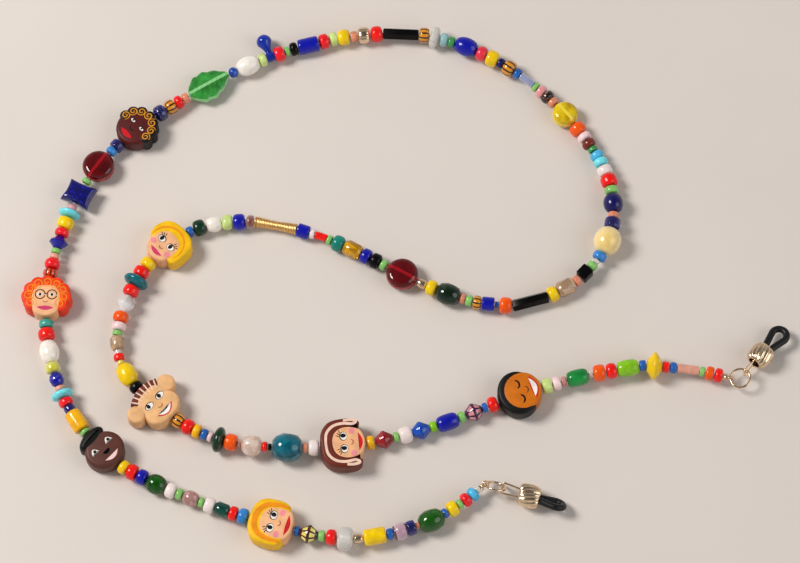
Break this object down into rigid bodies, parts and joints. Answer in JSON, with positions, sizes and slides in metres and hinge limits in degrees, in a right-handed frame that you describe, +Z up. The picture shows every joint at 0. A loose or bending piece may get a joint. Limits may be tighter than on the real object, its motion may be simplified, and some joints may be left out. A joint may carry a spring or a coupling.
{
  "type": "eyeglass retainer strap",
  "caption": "Beaded eyeglass retainer strap: glass, clay and metal beads on one wire, with an adjustable rubber temple loop at each end.",
  "frame": {"origin": "centre of the footprint, on the surface that the strap lies on", "axes": "+Z up from that surface, +X along the longer side of the footprint, +Y along its shorter side towards the upper loop"},
  "size_m": [0.2132, 0.1575, 0.0081],
  "materials": {
    "stainless_wire": "fine stranded beading wire",
    "silver_plate": "polished silver plate, slightly warm",
    "black_rubber": "smooth satin rubber cord",
    "clay_yellow_hair": "polymer clay, satin",
    "clay_brown": "polymer clay, satin",
    "clay_red_hair": "polymer clay, satin",
    "clay_maroon": "polymer clay, satin",
    "clay_tan": "polymer clay, satin",
    "clay_peach": "polymer clay, satin",
    "clay_orange_brown": "polymer clay, satin",
    "ruby_glass": "clear ruby glass",
    "yellow_glass": "yellow glass",
    "leaf_glass": "clear sea-green pressed glass",
    "pillow_glass": "dark blue glass",
    "cobalt_glass": "deep cobalt glass",
    "ice_glass": "clear glass with a pearly coat",
    "crystal_glass": "clear cut glass",
    "black_glass": "opaque black glass",
    "gold_wire": "gold-coloured wrapped wire",
    "pearl_coat": "pearl coating",
    "smoky_glass": "champagne cut glass",
    "green_glass": "deep green cut glass",
    "teal_glass": "teal cut glass",
    "blue_glass": "clear blue cut glass",
    "iris_glass": "dark glass with a golden mirror coat",
    "rose_pearl": "rose pearl glass",
    "bottle_glass": "dark green glass",
    "ivory_glass": "opaque ivory glass",
    "grass_glass": "green glass",
    "bugle_glass": "silky glass tube",
    "turquoise_glass": "opaque turquoise glass",
    "red_seed": "opaque red glass",
    "yellow_seed": "opaque yellow glass",
    "orange_seed": "opaque orange glass",
    "white_seed": "opaque white glass",
    "green_seed": "opaque pale green glass",
    "navy_seed": "dark blue glass",
    "sky_seed": "opaque sky-blue glass",
    "pink_seed": "opaque pink glass",
    "striped_seed": "striped glass",
    "amber_seed": "amber glass"
  },
  "bodies": {
    "strand": {"stringing_wire": "stainless_wire", "crimp_tubes": "silver_plate", "wire_guards": "silver_plate", "gold_coil_tube": "gold_wire", "black_tubes": "black_glass", "yellow_tubes": "yellow_glass", "yellow_saucer": "yellow_glass", "pearls": "pearl_coat", "silver_spacers": "silver_plate", "clear_crystals": "crystal_glass", "smoky_drums": "smoky_glass", "green_crystals": "green_glass", "teal_crystal": "teal_glass", "glass_rondelles": "teal_glass", "ruby_bicone": "ruby_glass", "blue_crystals": "blue_glass", "mirror_bicones": "iris_glass", "clear_drum": "ice_glass", "rose_beads": "rose_pearl", "dark_green_beads": "bottle_glass", "cobalt_beads": "cobalt_glass", "white_ovals": "ivory_glass", "green_barrels": "grass_glass", "bugle_beads": "bugle_glass", "turquoise_discs": "turquoise_glass", "red_beads": "red_seed", "yellow_beads": "yellow_seed", "orange_beads": "orange_seed", "white_beads": "white_seed", "light_green_beads": "green_seed", "navy_beads": "navy_seed", "sky_beads": "sky_seed", "black_beads": "black_glass", "pink_beads": "pink_seed", "striped_beads": "striped_seed", "amber_beads": "amber_seed"},
    "face_blond_bob": {"face_blond_bob": "clay_yellow_hair"},
    "face_beret": {"face_beret": "clay_brown"},
    "face_red_curls": {"face_red_curls": "clay_red_hair"},
    "pillow_bead": {"pillow_bead": "pillow_glass"},
    "ruby_coin_upper": {"ruby_coin_upper": "ruby_glass"},
    "face_gold_curls": {"face_gold_curls": "clay_maroon"},
    "leaf_bead": {"leaf_bead": "leaf_glass"},
    "teardrop_pendant": {"teardrop_pendant": "cobalt_glass"},
    "flower_rondelle": {"flower_rondelle": "ice_glass"},
    "yellow_coin": {"yellow_coin": "yellow_glass"},
    "black_cube": {"black_cube": "black_glass"},
    "ruby_coin_middle": {"ruby_coin_middle": "ruby_glass"},
    "face_blond_fringe": {"face_blond_fringe": "clay_yellow_hair"},
    "face_big_ears": {"face_big_ears": "clay_tan"},
    "face_striped_hair": {"face_striped_hair": "clay_peach"},
    "face_black_crescent": {"face_black_crescent": "clay_orange_brown"},
    "ring_a": {"jump_ring_a": "silver_plate"},
    "temple_loop_a": {"temple_link_a": "silver_plate", "rubber_loop_a": "black_rubber"},
    "slide_a": {"slide_bead_a": "silver_plate"},
    "ring_b": {"jump_ring_b": "silver_plate"},
    "temple_loop_b": {"temple_link_b": "silver_plate", "rubber_loop_b": "black_rubber"},
    "slide_b": {"slide_bead_b": "silver_plate"}
  },
  "joints": [
    {"name": "face_blond_bob_spin", "type": "hinge", "parent": "strand", "child": "face_blond_bob", "pos_m": [-0.0357, -0.07127, 0.00312], "axis": [-0.9607, 0.2774, -0.0132], "continuous": true},
    {"name": "face_beret_spin", "type": "hinge", "parent": "strand", "child": "face_beret", "pos_m": [-0.08195, -0.05013, 0.00313], "axis": [-0.7328, 0.6802, 0.0167], "continuous": true},
    {"name": "face_red_curls_spin", "type": "hinge", "parent": "strand", "child": "face_red_curls", "pos_m": [-0.0991, -0.00569, 0.00312], "axis": [0.033, 0.9995, 0.0014], "continuous": true},
    {"name": "pillow_bead_spin", "type": "hinge", "parent": "strand", "child": "pillow_bead", "pos_m": [-0.09143, 0.02591, 0.00313], "axis": [0.4166, 0.909, -0.0069], "continuous": true},
    {"name": "ruby_coin_upper_spin", "type": "hinge", "parent": "strand", "child": "ruby_coin_upper", "pos_m": [-0.08628, 0.03466, 0.00307], "axis": [0.5711, 0.8208, -0.0053], "continuous": true},
    {"name": "face_gold_curls_spin", "type": "hinge", "parent": "strand", "child": "face_gold_curls", "pos_m": [-0.07568, 0.04628, 0.00298], "axis": [0.7564, 0.6541, -0.006], "continuous": true},
    {"name": "leaf_bead_spin", "type": "hinge", "parent": "strand", "child": "leaf_bead", "pos_m": [-0.05562, 0.06021, 0.00294], "axis": [0.8537, 0.5208, 0.0049], "continuous": true},
    {"name": "teardrop_pendant_spin", "type": "hinge", "parent": "strand", "child": "teardrop_pendant", "pos_m": [-0.03808, 0.06911, 0.00296], "axis": [0.9264, 0.3764, -0.0072], "continuous": true},
    {"name": "flower_rondelle_spin", "type": "hinge", "parent": "strand", "child": "flower_rondelle", "pos_m": [0.00909, 0.07514, 0.00366], "axis": [0.9562, -0.2919, -0.0206], "continuous": true},
    {"name": "yellow_coin_spin", "type": "hinge", "parent": "strand", "child": "yellow_coin", "pos_m": [0.04619, 0.051, 0.00278], "axis": [0.6373, -0.7707, -0.0008], "continuous": true},
    {"name": "black_cube_spin", "type": "hinge", "parent": "strand", "child": "black_cube", "pos_m": [0.05066, 0.00184, 0.00335], "axis": [-0.7019, -0.7091, -0.0677], "continuous": true},
    {"name": "ruby_coin_middle_spin", "type": "hinge", "parent": "strand", "child": "ruby_coin_middle", "pos_m": [-0.00028, 0.00168, 0.00304], "axis": [-0.8742, 0.485, -0.0255], "continuous": true},
    {"name": "face_blond_fringe_spin", "type": "hinge", "parent": "strand", "child": "face_blond_fringe", "pos_m": [-0.0658, 0.01024, 0.00317], "axis": [-0.7617, -0.6472, 0.0302], "continuous": true},
    {"name": "face_big_ears_spin", "type": "hinge", "parent": "strand", "child": "face_big_ears", "pos_m": [-0.06776, -0.03705, 0.00309], "axis": [0.7676, -0.6409, 0.0051], "continuous": true},
    {"name": "face_striped_hair_spin", "type": "hinge", "parent": "strand", "child": "face_striped_hair", "pos_m": [-0.01651, -0.049, 0.00337], "axis": [0.9934, 0.1045, -0.0464], "continuous": true},
    {"name": "face_black_crescent_spin", "type": "hinge", "parent": "strand", "child": "face_black_crescent", "pos_m": [0.032, -0.03405, 0.00309], "axis": [0.9391, 0.3433, 0.0153], "continuous": true},
    {"name": "ring_a_hinge", "type": "hinge", "parent": "strand", "child": "ring_a", "pos_m": [0.02241, -0.05993, 0.00352], "axis": [0.1425, 0.6269, -0.7659], "range_deg": [-90, 75]},
    {"name": "temple_loop_a_hinge", "type": "hinge", "parent": "ring_a", "child": "temple_loop_a", "pos_m": [0.02763, -0.06129, 0.00349], "axis": [0.1763, 0.6181, -0.7661], "range_deg": [-90, 60]},
    {"name": "slide_a_shift", "type": "slide", "parent": "temple_loop_a", "child": "slide_a", "axis": [0.953, -0.302, -0.0244], "range_m": [-0.002, 0.0004]},
    {"name": "ring_b_hinge", "type": "hinge", "parent": "strand", "child": "ring_b", "pos_m": [0.09012, -0.02917, 0.00304], "axis": [0.0698, 0.9976, 0], "range_deg": [-90, 90]},
    {"name": "temple_loop_b_hinge", "type": "hinge", "parent": "ring_b", "child": "temple_loop_b", "pos_m": [0.09452, -0.02732, 0.00379], "axis": [-0.7426, 0.6552, -0.1387], "range_deg": [-60, 75]},
    {"name": "slide_b_shift", "type": "slide", "parent": "temple_loop_b", "child": "slide_b", "axis": [0.6661, 0.7442, -0.0508], "range_m": [-0.002, 0.0004]}
  ]
}
